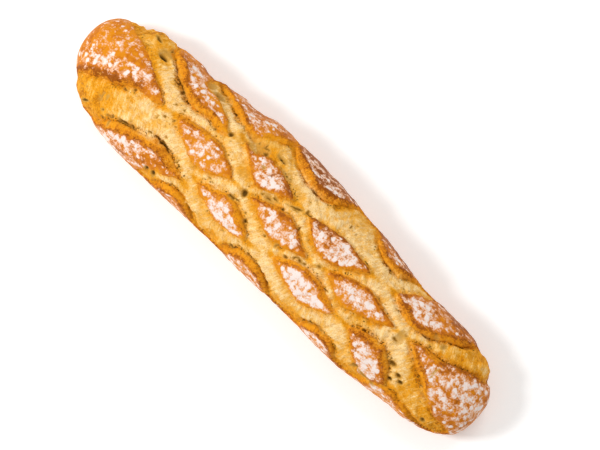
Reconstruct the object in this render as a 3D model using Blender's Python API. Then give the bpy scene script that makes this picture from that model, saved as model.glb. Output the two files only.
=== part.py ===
"""A rustic baguette: one loaf on a flat bed, its skin slashed crosswise so that it opened into diamonds.

Metres, +Z up. The loaf lies along X on z = 0, with the origin under the middle of its length and width.
The crown is the line along the top of the loaf. "Arc" is the distance round the skin from the crown, and
"spread" is how far to the side a place on the skin lies: the sideways place on the top of the loaf, which
keeps growing down the flanks. A "pad" is a diamond of skin that was left between the slashes. Its "foot" is
the line where it meets the crumb, and its "ear" is the side that lifted as the slash tore open.
"""

import bmesh
import bpy
import numpy as np

MM = 0.001

# Driving dimensions of the loaf.
LENGTH = 320 * MM
BED_SHARE = 0.64  # half width of the flat that the loaf rests on, as a share of the half width
WAIST_HEIGHT = 18 * MM  # where the loaf is widest
TIP_HEIGHT = 18 * MM
LEFT_NOSE = 56 * MM  # length over which each end rounds off
RIGHT_NOSE = 38 * MM

# The hand-shaped loaf varies along its length. These stand at even steps from the -X tip to the +X tip.
HALF_WIDTHS = np.array([32.0, 34.2, 35.8, 38.2, 38.0, 36.2, 33.6, 30.2, 29.0]) * MM
CROWN_HEIGHTS = np.array([41.0, 43.5, 45.5, 47.0, 48.0, 47.0, 45.0, 42.0, 38.0]) * MM
SIDE_SHIFTS = np.array([4.6, 0.2, 0.4, 3.4, 2.6, 1.0, -2.6, -1.2, -4.0]) * MM

# Shape of the section and of the ends: 2 is an ellipse, and more is squarer.
CROWN_SQUARENESS = 2.1
FLANK_SQUARENESS = 2.3
LEFT_ROUNDING = 0.92  # power of the sine that rounds each end off: more is more pointed
RIGHT_ROUNDING = 0.98
CROWN_FALL = 0.85  # how soon the crown comes down at the ends, as a power of the end's width
BED_LIFT = 0.42  # the same for how the underside comes up

# The corners of each pad in mm, x along the loaf and spread to the side. Pads on the flanks have corners past
# the bed, so they are open below.
PADS = {
    "left_cap": ((-94, -1), (-107, 8.4), (-120, 13.8), (-138, 20.5), (-190, 45), (-190, -45), (-152, -18),
                 (-136, -13.5), (-113, -3)),
    "right_cap": ((103.5, 0.3), (124, 5.2), (149, 13.5), (190, 45), (190, -45), (151, -20.5), (140, -20.5),
                  (122, -12.5)),
    "crown_1": ((-86, 1), (-56, 7.4), (-34, -4.5), (-58, -13.3)),
    "crown_2": ((-21, -3.5), (3, 4.3), (28, -7.3), (4, -14)),
    "crown_3": ((39.5, -4.5), (66, 6.5), (91.5, -0.8), (60, -13.5)),
    "far_1": ((-113, 30), (-91, 14.8), (-73, 12.8), (-55, 15.2), (-86, 28), (-94, 60), (-125, 60)),
    "far_2": ((-48.5, 19.5), (-42, 16.8), (-37, 17.2), (-31, 19.8), (-24.5, 21.3), (0, 12), (-24, 3.3)),
    "far_3": ((10, 11.8), (32, 17), (60, 12.5), (33, -1.5)),
    "far_4": ((77.5, 15), (97, 6.5), (119, 17), (131, 27), (140, 60), (106, 60), (96, 29)),
    "near_1": ((-121, -33.5), (-105, -25.5), (-94, -21.3), (-80, -18), (-67, -20.5), (-58.5, -25),
               (-73, -29.7), (-84, -36), (-92, -60), (-132, -60)),
    "near_2": ((-51, -18.5), (-26, -12.3), (-5, -24), (-28, -27.5)),
    "near_3": ((12, -20), (30, -11), (61, -19), (40, -28.5)),
    "near_4": ((71, -19), (94, -12.5), (110, -27.5), (91, -32.5)),
    "far_flank_1": ((-86, 38), (-72, 32), (-62, 28.3), (-54, 24.8), (-48, 24.6), (-38, 30.5), (-27, 38),
                    (-30, 60), (-88, 60)),
    "far_flank_2": ((-25, 38.5), (-14, 31), (-3, 27.2), (8, 27), (18, 30), (33, 45), (33, 60), (-30, 60)),
    "far_flank_3": ((36, 45), (46, 33), (57, 26), (73, 26), (90, 40), (94, 60), (34, 60)),
    "near_flank_1": ((-74, -39), (-65, -32.8), (-54, -31), (-46, -32), (-35, -39), (-30, -60), (-80, -60)),
    "near_flank_2": ((-24, -42), (-6, -30.5), (8, -30), (30, -42), (32, -60), (-26, -60)),
    "near_flank_3": ((40, -42), (57, -31.3), (68, -32), (82, -42), (84, -60), (36, -60)),
    "near_flank_4": ((91, -38), (99, -32.5), (107, -28.5), (120, -29.5), (139, -32.5), (146, -60), (88, -60)),
}
# How much of an ear each pad's lifted side has, from 0 to 1. The pads that aren't named have a full one.
EARS = {
    "left_cap": 0.7, "right_cap": 0.6, "crown_1": 0.15, "crown_2": 0.25, "crown_3": 0.25,
    "far_2": 0.2, "far_3": 0.25, "near_2": 0.45, "near_3": 0.5, "near_flank_4": 0.3,
}
BULGE = 0.05  # how far a side of a pad bulges, as a share of its length
BULGE_STEPS = 4  # points on each bulging side
PAST_THE_BED = 44 * MM  # sides that reach more spread than this lie off the skin, and stay straight
SLASH_END_ARC = 65 * MM
SLASH_TAPER = 12 * MM
SLASH_CLOSING = 30 * MM  # how far the pads grow towards each other where the slashes end
LEAST_SPREAD_RATE = 0.30  # spread gained for each mm of arc on the steepest part of a flank

# Relief of the opened skin, measured from the plain form.
SKIN_RISE = 0.9 * MM
RIM_RISE = 0.9 * MM  # the further rise of an ear's rim
RIM_REACH = 4.0 * MM
FOOT_DROP = 0.8 * MM
EAR_DROP = 1.0 * MM  # the further drop at an ear's foot
CRUMB_SWELL = 0.4 * MM  # how far the crumb swells again towards the middle of a slash
CRUMB_REACH = 5.0 * MM
END_SWELL = 1.5 * MM  # the crumb swelled most on the +Y side of both ends
END_SWELL_SIDE = (4 * MM, 18 * MM)  # from this spread, fully at this spread
END_SWELL_PLACE = 128 * MM
END_SWELL_REACH = 22 * MM
WALL_INSIDE = 1.2 * MM  # a pad's side slopes from here in the slash
WALL_OUTSIDE = 2.2 * MM  # to here on the pad
EAR_SPREAD = (5 * MM, 12 * MM)  # ears start from here down the flank
FACING_CROWN = (0.1, 0.75)  # how squarely a side must face the crown to lift, as a cosine
EAR_BLEND = 4.0 * MM  # how softly one pad's ear runs into the next

# Grid of the cage: cells along the loaf, across the top and down each side.
CELLS = (100, 26, 8)
TOP_ARC = 43 * MM  # the arc that the cage's top face covers on each side of the crown
END_REACH = 30 * MM  # how much of each end the cage's end face covers, measured over the skin
FACE_LIMIT = 0.9999  # a cage point past this is on that face

CRUST_COLOUR = (0.62, 0.27, 0.07, 1.0)
CRUST_ROUGHNESS = 0.62


def smooth(value, low, high):
    """0 below low, 1 above high, and a smooth step between them."""
    share = np.clip((value - low) / (high - low), 0.0, 1.0)
    return share * share * (3.0 - 2.0 * share)


def clear_scene():
    for old in list(bpy.data.objects):
        bpy.data.objects.remove(old)


def along_loaf(stations, x):
    """A smooth curve through the stations, which stand at even steps from tip to tip, read at x."""
    place = (x / LENGTH + 0.5) * (len(stations) - 1)
    first = np.clip(np.floor(place), 0, len(stations) - 2).astype(int)
    t = place - first
    before = 2.0 * stations[0] - stations[1]
    after = 2.0 * stations[-1] - stations[-2]
    padded = np.concatenate([[before], stations, [after]])
    a, b, c, d = (padded[first + i] for i in range(4))
    bend = 2.0 * a - 5.0 * b + 4.0 * c - d
    twist = 3.0 * (b - c) + d - a
    return b + 0.5 * t * (c - a + t * (bend + t * twist))


class Section:
    """The section that every slice of the loaf is scaled from: half of it, from the crown to mid bed."""

    def __init__(self):
        half_width = HALF_WIDTHS.max()
        crown_height = CROWN_HEIGHTS.max()
        turn = np.linspace(0.0, np.pi / 2, 200)
        crown = 2.0 / CROWN_SQUARENESS
        flank = 2.0 / FLANK_SQUARENESS
        across = np.concatenate([
            np.sin(turn) ** crown,
            BED_SHARE + (1.0 - BED_SHARE) * np.cos(turn[1:]) ** flank,
            [0.0],
        ])
        # 1 at the crown, 0 at the waist and -1 at the bed.
        self.level = np.concatenate([np.cos(turn) ** crown, -(np.sin(turn[1:]) ** flank), [-1.0]])
        self.across = across
        rise = np.where(self.level > 0, crown_height - WAIST_HEIGHT, WAIST_HEIGHT)
        steps_across = np.diff(across * half_width)
        steps_up = np.diff(self.level * rise)
        lengths = np.hypot(steps_across, steps_up)
        self.arc = np.concatenate([[0.0], np.cumsum(lengths)])
        rate = np.maximum(steps_across / np.maximum(lengths, 1e-9), LEAST_SPREAD_RATE)
        self.spread = np.concatenate([[0.0], np.cumsum(rate * lengths)]) / half_width
        self.rate = np.append(rate, rate[-1])
        self.bed_arc = self.arc[-2]
        self.end_arc = self.arc[-1]

    def read(self, values, arc):
        return np.interp(arc, self.arc, values)


def outline():
    """From tip to tip: the distance over the skin, x, and the width as a share of the full one."""
    turn = np.linspace(0.0, np.pi / 2, 120)
    left_x = -LENGTH / 2 + LEFT_NOSE * (1.0 - np.cos(turn))
    right_x = LENGTH / 2 - RIGHT_NOSE * (1.0 - np.cos(turn))
    x = np.concatenate([left_x, right_x[::-1]])
    share = np.concatenate([np.sin(turn) ** LEFT_ROUNDING, np.sin(turn[::-1]) ** RIGHT_ROUNDING])
    steps = np.hypot(np.diff(x), HALF_WIDTHS.mean() * np.diff(share))
    return np.concatenate([[0.0], np.cumsum(steps)]), x, share


def pad_outline(corners):
    """The corners with points between them on bulging sides, counter-clockwise, in metres."""
    corners = np.array(corners, dtype=float) * MM
    after = np.roll(corners, -1, axis=0)
    if (corners[:, 0] * after[:, 1] - corners[:, 1] * after[:, 0]).sum() < 0:
        corners = corners[::-1]
        after = np.roll(corners, -1, axis=0)
    points = []
    for start, end in zip(corners, after):
        run = end - start
        outwards = np.array([run[1], -run[0]])
        straight = max(abs(start[1]), abs(end[1])) > PAST_THE_BED
        for t in np.arange(0.0, 1.0, 1.0 if straight else 1.0 / BULGE_STEPS):
            points.append(start + t * run + outwards * BULGE * 4.0 * t * (1.0 - t))
    return np.array(points)


def pad_edges(x, spread, rate):
    """Each point's distance to the nearest pad's foot, positive on a pad, and how much of an ear is there."""
    nearest = np.full(len(x), 1.0)
    on_pad = np.zeros(len(x), dtype=bool)
    total = np.zeros(len(x))
    ear = np.zeros(len(x))
    for name, corners in PADS.items():
        points = pad_outline(corners)
        crossings = np.zeros(len(x), dtype=int)
        for start, end in zip(points, np.roll(points, -1, axis=0)):
            run_x = end[0] - start[0]
            run_spread = end[1] - start[1]
            over_skin = run_spread / rate
            to_x = x - start[0]
            to_spread = (spread - start[1]) / rate
            along = np.clip((to_x * run_x + to_spread * over_skin) / (run_x**2 + over_skin**2), 0.0, 1.0)
            distance = np.hypot(to_x - along * run_x, to_spread - along * over_skin)
            nearest = np.minimum(nearest, distance)
            facing_crown = smooth(np.sign(spread) * run_x / np.hypot(run_x, over_skin), *FACING_CROWN)
            weight = np.exp(-distance / EAR_BLEND)
            total += weight
            ear += weight * EARS.get(name, 1.0) * facing_crown
            spans = (start[1] > spread) != (end[1] > spread)
            share = (spread - start[1]) / (run_spread if run_spread else 1.0)
            crossings += spans & (x < start[0] + share * run_x)
        on_pad |= crossings % 2 == 1
    return np.where(on_pad, nearest, -nearest), ear / total * smooth(np.abs(spread), *EAR_SPREAD)


def relief(x, spread, rate, arc):
    """How far the skin stands out from the plain form: more on the pads, less in the slashes."""
    edge, ear = pad_edges(x, spread, rate)
    edge = edge + SLASH_CLOSING * smooth(arc, SLASH_END_ARC - SLASH_TAPER, SLASH_END_ARC)
    rim = RIM_RISE * ear * np.exp(-np.maximum(edge, 0.0) / RIM_REACH)
    foot = -FOOT_DROP - EAR_DROP * ear
    near_end = np.exp(-(((np.abs(x) - END_SWELL_PLACE) / END_SWELL_REACH) ** 2))
    swell = CRUMB_SWELL + EAR_DROP * ear + END_SWELL * near_end * smooth(spread, *END_SWELL_SIDE)
    crumb = foot + swell * smooth(-edge, 0.0, CRUMB_REACH)
    wall = smooth(edge, -WALL_INSIDE, WALL_OUTSIDE)
    on_top = 1.0 - smooth(arc, SLASH_END_ARC - SLASH_TAPER / 2.0, SLASH_END_ARC + SLASH_TAPER / 2.0)
    return (crumb + (SKIN_RISE + rim - crumb) * wall) * on_top


def cage_places(cage):
    """Each cage point's distance over the skin from the -X tip, its arc from the crown and its side."""
    u, v, w = cage.T
    ring = np.maximum(np.abs(v), np.abs(w))
    at_end = np.abs(u) > FACE_LIMIT
    inward = np.where(at_end, np.maximum(ring, 1e-6), 1.0)
    v = np.clip(v / inward, -1.0, 1.0)
    w = np.clip(w / inward, -1.0, 1.0)
    half_over = outline()[0][-1] / 2.0
    from_middle = u * (half_over - END_REACH)
    from_middle = np.where(at_end, np.sign(u) * (half_over - ring * END_REACH), from_middle)

    section = Section()
    top = TOP_ARC * np.abs(v)
    flank = TOP_ARC + (1.0 - w) / 2.0 * (section.bed_arc - TOP_ARC)
    bed = section.bed_arc + (1.0 - np.abs(v)) * (section.end_arc - section.bed_arc)
    arc = np.where(w > FACE_LIMIT, top, np.where(w < -FACE_LIMIT, bed, flank))
    return half_over + from_middle, arc, np.where(v < 0, -1.0, 1.0)


def loaf_points(cage):
    """Moves the points of the cage, a cube from -1 to 1, onto the loaf."""
    section = Section()
    over, outline_x, outline_share = outline()
    distance, arc, side = cage_places(cage)
    x = np.interp(distance, over, outline_x)
    share = np.interp(distance, over, outline_share)
    half_width = along_loaf(HALF_WIDTHS, x) * share
    crown_rise = (along_loaf(CROWN_HEIGHTS, x) - TIP_HEIGHT) * share**CROWN_FALL + TIP_HEIGHT - WAIST_HEIGHT
    bed_drop = WAIST_HEIGHT - TIP_HEIGHT * (1.0 - share**BED_LIFT)
    shift = along_loaf(SIDE_SHIFTS, x)

    def place(at_arc):
        level = section.read(section.level, at_arc)
        y = side * half_width * section.read(section.across, at_arc)
        return y, WAIST_HEIGHT + level * np.where(level > 0, crown_rise, bed_drop)

    y, z = place(arc)
    step = 0.5 * MM
    ahead_y, ahead_z = place(np.minimum(arc + step, section.end_arc))
    back_y, back_z = place(np.maximum(arc - step, 0.0))
    out_y = (back_z - ahead_z) * side
    out_z = (ahead_y - back_y) * side
    length = np.maximum(np.hypot(out_y, out_z), 1e-9)
    on_crown = arc < step
    out_y = np.where(on_crown, 0.0, out_y / length)
    out_z = np.where(on_crown, 1.0, out_z / length)

    spread = side * half_width * section.read(section.spread, arc) + shift
    rise = relief(x, spread, section.read(section.rate, arc), arc) * smooth(share, 0.05, 0.6)
    y = y + rise * out_y + shift
    z = np.maximum(z + rise * out_z, 0.0)
    return np.stack([x, y - (y.max() + y.min()) / 2.0, z], axis=1)


def make_loaf():
    """A cube, cut into a grid and moved onto the loaf's form."""
    mesh = bpy.data.meshes.new("loaf")
    cage = bmesh.new()
    bmesh.ops.create_cube(cage, size=2.0)
    for axis, cells in enumerate(CELLS):
        rungs = [e for e in cage.edges if abs(e.verts[0].co[axis] - e.verts[1].co[axis]) > 1.0]
        bmesh.ops.subdivide_edges(cage, edges=rungs, cuts=cells - 1, use_grid_fill=True)
    points = loaf_points(np.array([vertex.co for vertex in cage.verts]))
    for vertex, point in zip(cage.verts, points):
        vertex.co = point
    bmesh.ops.triangulate(cage, faces=cage.faces, quad_method="SHORT_EDGE")
    cage.to_mesh(mesh)
    cage.free()
    mesh.shade_smooth()
    return bpy.data.objects.new("loaf", mesh)


def crust_material():
    material = bpy.data.materials.new("crust")
    material.use_nodes = True
    shader = material.node_tree.nodes["Principled BSDF"]
    shader.inputs["Base Color"].default_value = CRUST_COLOUR
    shader.inputs["Roughness"].default_value = CRUST_ROUGHNESS
    return material


def main():
    clear_scene()
    collection = bpy.data.collections.new("baguette")
    bpy.context.scene.collection.children.link(collection)
    loaf = make_loaf()
    loaf.data.materials.append(crust_material())
    collection.objects.link(loaf)


main()
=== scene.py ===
# %% [markdown]
# # A rustic baguette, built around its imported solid
#
# The solid from the CAD step is loaded first and never moved. It fixes the loaf's size and place. All
# looks are made below: a finer mesh of the same form, with the skin that tore open along the slashes, and
# one material that reads what the mesh knows about itself.

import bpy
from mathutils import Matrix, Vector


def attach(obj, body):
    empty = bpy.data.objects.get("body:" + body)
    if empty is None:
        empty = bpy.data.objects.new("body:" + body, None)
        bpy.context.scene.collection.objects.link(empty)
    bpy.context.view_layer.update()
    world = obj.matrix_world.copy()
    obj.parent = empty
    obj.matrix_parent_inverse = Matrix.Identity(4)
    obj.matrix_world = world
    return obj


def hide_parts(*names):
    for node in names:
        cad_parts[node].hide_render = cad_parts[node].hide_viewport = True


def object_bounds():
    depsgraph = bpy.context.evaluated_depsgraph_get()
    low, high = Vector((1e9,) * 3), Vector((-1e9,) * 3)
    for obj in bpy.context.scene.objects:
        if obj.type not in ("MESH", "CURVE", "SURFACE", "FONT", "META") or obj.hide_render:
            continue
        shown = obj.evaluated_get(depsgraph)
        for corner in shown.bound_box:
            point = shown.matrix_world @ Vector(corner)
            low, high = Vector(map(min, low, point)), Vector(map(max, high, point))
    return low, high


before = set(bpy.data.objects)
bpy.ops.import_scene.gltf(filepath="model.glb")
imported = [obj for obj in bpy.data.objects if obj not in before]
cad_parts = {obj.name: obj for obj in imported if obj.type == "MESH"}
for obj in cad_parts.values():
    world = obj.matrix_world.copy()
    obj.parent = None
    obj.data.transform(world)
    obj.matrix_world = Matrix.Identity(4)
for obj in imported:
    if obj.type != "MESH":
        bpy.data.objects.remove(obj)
cad_low, cad_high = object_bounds()
print("CAD box in mm:", [round(1000 * (b - a), 1) for a, b in zip(cad_low, cad_high)])

# %% [markdown]
# ## The loaf's own measures
#
# A baguette is shaped by hand, so its width, its height and the line of its middle wander. It would be
# possible to push a cylinder about with proportional editing, but numbers at even steps along the loaf
# say the same thing in a way that can be read and changed. They are the CAD solid's numbers, so both have
# one form.

# %% Sizes along the loaf
import math

import bmesh
import bpy
import numpy as np
from mathutils import Vector

MM = 0.001
LENGTH = cad_high.x - cad_low.x
HALF_WIDTHS = np.array([32.0, 34.2, 35.8, 38.2, 38.0, 36.2, 33.6, 30.2, 29.0]) * MM
CROWN_HEIGHTS = np.array([41.0, 43.5, 45.5, 47.0, 48.0, 47.0, 45.0, 42.0, 38.0]) * MM
SIDE_SHIFTS = np.array([4.6, 0.2, 0.4, 3.4, 2.6, 1.0, -2.6, -1.2, -4.0]) * MM
WAIST_HEIGHT = 18 * MM
TIP_HEIGHT = 18 * MM
BED_SHARE = 0.64  # width of the flat underside, as a share of the loaf's width
LEFT_NOSE, RIGHT_NOSE = 56 * MM, 38 * MM  # how far in from the tips the ends are rounded
LEFT_ROUNDING, RIGHT_ROUNDING = 0.92, 0.98  # the less, the fuller the end
CROWN_SQUARENESS, FLANK_SQUARENESS = 2.1, 2.3  # 2 is round, more is squarer
CROWN_FALL, BED_LIFT = 0.85, 0.42  # powers that the crown and the bed follow towards a tip


def smooth(value, low, high):
    """0 at low, 1 at high, and a smooth step between them."""
    share = np.clip((value - low) / (high - low), 0.0, 1.0)
    return share * share * (3.0 - 2.0 * share)


def step_mm(value, low, high):
    """The same smooth step, between two distances in mm."""
    return smooth(value, low * MM, high * MM)


def hump(value, middle, reach):
    """1 at the middle, falling off smoothly on both sides."""
    return np.exp(-(((value - middle) / reach) ** 2))


def along_loaf(stations, x):
    """A smooth curve through the stations, which stand at even steps from tip to tip, read at x."""
    place = (x / LENGTH + 0.5) * (len(stations) - 1)
    first = np.clip(np.floor(place), 0, len(stations) - 2).astype(int)
    t = place - first
    before = 2.0 * stations[0] - stations[1]
    after = 2.0 * stations[-1] - stations[-2]
    padded = np.concatenate([[before], stations, [after]])
    a, b, c, d = (padded[first + i] for i in range(4))
    bend = 2.0 * a - 5.0 * b + 4.0 * c - d
    twist = 3.0 * (b - c) + d - a
    return b + 0.5 * t * (c - a + t * (bend + t * twist))


print("middle of the loaf is", round(2000 * float(along_loaf(HALF_WIDTHS, 0.0))), "mm wide")

# %% [markdown]
# ## The section
#
# Cut across, the loaf is a low dome over a flat bed, widest at the waist. It could be drawn as a curve by
# hand, but two superellipse quarters give it with four numbers. Besides the outline, the section keeps a
# "spread": how far to the side a place on the skin lies, which keeps growing down the flank, so that a
# slash can be drawn as a line in x and spread on the unrolled skin.

# %% One section that every slice is scaled from
TURN_STEPS = 400
LEAST_SPREAD_RATE = 0.30  # on the steepest skin, spread still grows by this share of the way round

turn = np.linspace(0.0, np.pi / 2, TURN_STEPS)
section_across = np.concatenate([
    np.sin(turn) ** (2.0 / CROWN_SQUARENESS),
    BED_SHARE + (1.0 - BED_SHARE) * np.cos(turn[1:]) ** (2.0 / FLANK_SQUARENESS),
    [0.0],
])
section_level = np.concatenate([
    np.cos(turn) ** (2.0 / CROWN_SQUARENESS),
    -(np.sin(turn[1:]) ** (2.0 / FLANK_SQUARENESS)),
    [-1.0],
])
rise = np.where(section_level > 0, CROWN_HEIGHTS.max() - WAIST_HEIGHT, WAIST_HEIGHT)
steps_across = np.diff(section_across * HALF_WIDTHS.max())
step_lengths = np.hypot(steps_across, np.diff(section_level * rise))
section_arc = np.concatenate([[0.0], np.cumsum(step_lengths)])
spread_steps = np.maximum(steps_across / step_lengths, LEAST_SPREAD_RATE)
section_spread = np.concatenate([[0.0], np.cumsum(spread_steps * step_lengths)]) / HALF_WIDTHS.max()
section_rate = np.append(spread_steps, spread_steps[-1])
BED_ARC, END_ARC = section_arc[-2], section_arc[-1]


def read_section(values, arc):
    """What the section says at an arc, which is the distance round the skin from the crown."""
    return np.interp(arc, section_arc, values)


print("from crown to bed", round(1000 * BED_ARC, 1), "mm round the skin")

# %% [markdown]
# ## The ends
#
# Each end is rounded by the sine of a turn raised to a power, the -X end longer and more pointed, the +X
# end blunter. Bevelling a cylinder's rims would round the ends too, but it couldn't tune each so easily.
# The distance over the skin is worked out as well, so that the rings of the mesh stay evenly spaced where
# an end turns steeply down.

# %% Outline from tip to tip
left_x = -LENGTH / 2 + LEFT_NOSE * (1.0 - np.cos(turn))
right_x = LENGTH / 2 - RIGHT_NOSE * (1.0 - np.cos(turn))
outline_x = np.concatenate([left_x, right_x[::-1]])
outline_share = np.concatenate([np.sin(turn) ** LEFT_ROUNDING, np.sin(turn[::-1]) ** RIGHT_ROUNDING])
outline_steps = np.hypot(np.diff(outline_x), HALF_WIDTHS.mean() * np.diff(outline_share))
outline_over = np.concatenate([[0.0], np.cumsum(outline_steps)])
print("tip to tip over the skin", round(1000 * outline_over[-1], 1), "mm")


def plain_form(over, arc, side):
    """Points of the loaf before it was slashed, at a distance over the skin and an arc from the crown."""
    x = np.interp(over, outline_over, outline_x)
    share = np.interp(over, outline_over, outline_share)
    crown_rise = (along_loaf(CROWN_HEIGHTS, x) - TIP_HEIGHT) * share**CROWN_FALL + TIP_HEIGHT - WAIST_HEIGHT
    bed_drop = WAIST_HEIGHT - TIP_HEIGHT * (1.0 - share**BED_LIFT)
    level = read_section(section_level, arc)
    across = read_section(section_across, arc)
    y = side * along_loaf(HALF_WIDTHS, x) * share * across + along_loaf(SIDE_SHIFTS, x)
    z = WAIST_HEIGHT + level * np.where(level > 0, crown_rise, bed_drop)
    return np.stack([x, y, z], axis=1)


# %% [markdown]
# ## The blank
#
# A UV sphere laid on its side gives rings along the loaf and closed tips. Its points are moved onto the
# plain form. A cube cut into a grid would do as well, but it spends too many of its faces on the flat
# underside, while the sphere's meridians can be crowded on the top, where the slashes are.

# %% Sphere to blank
MERIDIANS, RINGS = 232, 404
TOP_PART = 0.84  # share of the meridians on the crown and the flanks, down to the bed

dough = bmesh.new()
bmesh.ops.create_uvsphere(dough, u_segments=MERIDIANS, v_segments=RINGS, radius=1.0)
ball = np.array([vertex.co for vertex in dough.verts])
over = np.arccos(np.clip(-ball[:, 2], -1.0, 1.0)) / np.pi * outline_over[-1]
turned = np.abs(np.arctan2(ball[:, 1], ball[:, 0])) / np.pi
arc = np.where(
    turned < TOP_PART,
    turned / TOP_PART * BED_ARC,
    BED_ARC + (turned - TOP_PART) / (1.0 - TOP_PART) * (END_ARC - BED_ARC),
)
side = np.where(ball[:, 1] > 0, -1.0, 1.0)
blank = plain_form(over, arc, side)
blank_x, blank_y, blank_z = blank.T
middle_y = (blank_y.max() + blank_y.min()) / 2.0


def move_points(points):
    """Move the dough's points here, and hand back which way the skin faces at each."""
    for vertex, point in zip(dough.verts, points):
        vertex.co = point
    dough.normal_update()
    return np.array([vertex.normal for vertex in dough.verts])


outward = move_points(blank)
print("blank has", len(dough.verts), "points; first normal up?", outward[np.argmax(blank_z), 2] > 0)

# %% [markdown]
# ## Unevenness
#
# Nothing on bread is straight. Smooth noise, read at each point of the blank, bends the slashes, dents
# the pads and swells the crumb. Blender's noise functions would do, but they take one point at a time. A
# table of random numbers, read between its corners, does all points in one step and gives the same loaf
# every run.

# %% Smooth noise for every point at once
NOISE_TABLE = 48


def unevenness(places, size, seed):
    """Smooth noise from -1 to 1, with bumps about size across. size may differ for each direction."""
    table = np.random.default_rng(seed).uniform(-1.0, 1.0, (NOISE_TABLE,) * 3)
    cells = places / np.asarray(size)
    corner = np.floor(cells).astype(int)
    t = cells - corner
    t = t * t * (3.0 - 2.0 * t)
    total = np.zeros(len(places))
    for i, j, k in np.ndindex(2, 2, 2):
        share = np.abs(1 - i - t[:, 0]) * np.abs(1 - j - t[:, 1]) * np.abs(1 - k - t[:, 2])
        near = (corner + (i, j, k)) % NOISE_TABLE
        total += share * table[near[:, 0], near[:, 1], near[:, 2]]
    return total


def waves(*layers):
    """Layers of noise over the blank, added up. Each has an amount, a size in mm and a seed of its own."""
    return sum(amount * unevenness(blank, np.asarray(size) * MM, seed) for amount, size, seed in layers)


one_layer = waves((1.0, 5, 1))
print("noise spans", np.round([one_layer.min(), one_layer.max()], 2))

# %% [markdown]
# ## Pads of skin between the slashes
#
# The baker cut the loaf crosswise, and in the oven the cuts opened and left diamonds of floury skin, the
# "pads". Booleans could cut the grooves, but every groove would then have the same walls. Here each pad
# is an outline of a few corners in mm, x along the loaf and spread to the side. Pads on the flanks reach
# down past the bed, so they are open below. All relief and colour later follow from one number, the
# distance to the nearest pad's foot: above 0 on a pad, below 0 in a groove.

# %% The pads' corners
PADS = {
    "left_cap": ((-94, -1), (-107, 8.4), (-120, 13.8), (-138, 20.5), (-190, 45), (-190, -45), (-152, -18),
                 (-136, -13.5), (-113, -3)),
    "right_cap": ((103.5, 0.3), (124, 5.2), (149, 13.5), (190, 45), (190, -45), (151, -20.5), (140, -20.5),
                  (122, -12.5)),
    "crown_1": ((-86, 1), (-56, 7.4), (-34, -4.5), (-58, -13.3)),
    "crown_2": ((-21, -3.5), (3, 4.3), (28, -7.3), (4, -14)),
    "crown_3": ((39.5, -4.5), (66, 6.5), (91.5, -0.8), (60, -13.5)),
    "far_1": ((-113, 30), (-91, 14.8), (-73, 12.8), (-55, 15.2), (-86, 28), (-94, 60), (-125, 60)),
    "far_2": ((-48.5, 19.5), (-42, 16.8), (-37, 17.2), (-31, 19.8), (-24.5, 21.3), (0, 12), (-24, 3.3)),
    "far_3": ((10, 11.8), (32, 17), (60, 12.5), (33, -1.5)),
    "far_4": ((77.5, 15), (97, 6.5), (119, 17), (131, 27), (140, 60), (106, 60), (96, 29)),
    "near_1": ((-121, -33.5), (-105, -25.5), (-94, -21.3), (-80, -18), (-67, -20.5), (-58.5, -25),
               (-73, -29.7), (-84, -36), (-92, -60), (-132, -60)),
    "near_2": ((-51, -18.5), (-26, -12.3), (-5, -24), (-28, -27.5)),
    "near_3": ((12, -20), (30, -11), (61, -19), (40, -28.5)),
    "near_4": ((71, -19), (94, -12.5), (110, -27.5), (91, -32.5)),
    "far_flank_1": ((-86, 38), (-72, 32), (-62, 28.3), (-54, 24.8), (-48, 24.6), (-38, 30.5), (-27, 38),
                    (-30, 60), (-88, 60)),
    "far_flank_2": ((-25, 38.5), (-14, 31), (-3, 27.2), (8, 27), (18, 30), (33, 45), (33, 60), (-30, 60)),
    "far_flank_3": ((36, 45), (46, 33), (57, 26), (73, 26), (90, 40), (94, 60), (34, 60)),
    "near_flank_1": ((-74, -39), (-65, -32.8), (-54, -31), (-46, -32), (-35, -39), (-30, -60), (-80, -60)),
    "near_flank_2": ((-24, -42), (-6, -30.5), (8, -30), (30, -42), (32, -60), (-26, -60)),
    "near_flank_3": ((40, -42), (57, -31.3), (68, -32), (82, -42), (84, -60), (36, -60)),
    "near_flank_4": ((91, -38), (99, -32.5), (107, -28.5), (120, -29.5), (139, -32.5), (146, -60), (88, -60)),
}
print("pads:", len(PADS), "with", sum(len(corners) for corners in PADS.values()), "corners")

# %% Flour, scorch and ear of each pad
# How floury it is, how scorched, and how much of an ear its lifted side has. 0 is none and 1 is plenty.
PAD_FINISH = {
    "left_cap": (0.13, 0.44, 0.7),
    "right_cap": (0.44, 0.60, 0.6),
    "crown_1": (0.34, 0.42, 0.15),
    "crown_2": (0.52, 0.50, 0.25),
    "crown_3": (0.56, 0.45, 0.25),
    "far_1": (0.50, 0.45, 1.3),
    "far_2": (0.54, 0.80, 0.2),
    "far_3": (0.58, 0.75, 0.25),
    "far_4": (0.42, 0.72, 0.8),
    "near_1": (0.58, 0.68, 1.3),
    "near_2": (0.88, 0.20, 0.60),
    "near_3": (0.68, 0.25, 0.5),
    "near_4": (0.74, 0.66, 0.8),
    "far_flank_1": (0.36, 0.45, 0.7),
    "far_flank_2": (0.52, 1.15, 1.0),
    "far_flank_3": (0.42, 0.80, 0.7),
    "near_flank_1": (0.46, 0.50, 0.8),
    "near_flank_2": (0.52, 0.45, 0.9),
    "near_flank_3": (0.52, 0.45, 0.7),
    "near_flank_4": (0.60, 0.45, 0.3),
}
print("the most floury pad is", max(PAD_FINISH, key=lambda name: PAD_FINISH[name][0]))

# %% [markdown]
# ### Bulging sides
#
# Dough that swells rounds the sides of its pads. Bezier handles would do it on a drawn curve. Here every
# side gets a few points on a shallow arc, so the corners above stay the only numbers to keep.

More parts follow.
